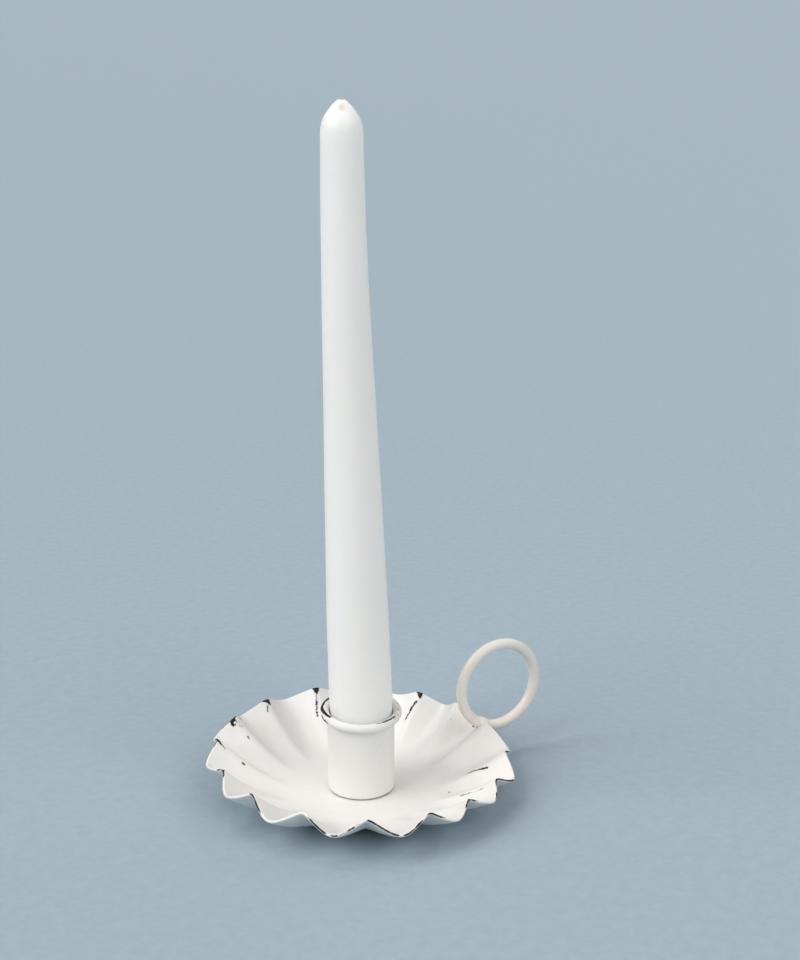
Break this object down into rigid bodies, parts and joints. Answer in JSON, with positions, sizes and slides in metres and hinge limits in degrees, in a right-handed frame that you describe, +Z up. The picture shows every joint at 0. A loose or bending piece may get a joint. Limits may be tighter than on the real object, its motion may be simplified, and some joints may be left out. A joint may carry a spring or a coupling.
{
  "type": "candlestick",
  "caption": "Low candle holder: a fluted sheet-metal drip pan with a lipped candle socket and a round finger ring, holding a tapered candle.",
  "frame": {"origin": "centre of the pan's flat underside, on the table", "axes": "+Z up out of the socket, +X from the socket to the finger ring, +Y to the left of that"},
  "size_m": [0.1369, 0.1145, 0.2528],
  "materials": {
    "painted_sheet": "satin white paint, rubbed through to dark iron on its edges",
    "painted_rod": "satin cream-white paint",
    "wax": "smooth white wax, slightly translucent",
    "wick": "plaited cotton, browned"
  },
  "bodies": {
    "holder": {"dish": "painted_sheet", "candle_socket": "painted_sheet", "socket_rivet": "painted_sheet", "ring_handle": "painted_rod", "handle_weld_inner": "painted_rod", "handle_weld_outer": "painted_rod"},
    "taper": {"candle": "wax", "candle_wick": "wick"}
  },
  "joints": [
    {"name": "candle_lift", "type": "slide", "parent": "holder", "child": "taper", "axis": [-0.0243, 0.0137, 0.9996], "range_m": [0, 0.045]}
  ]
}
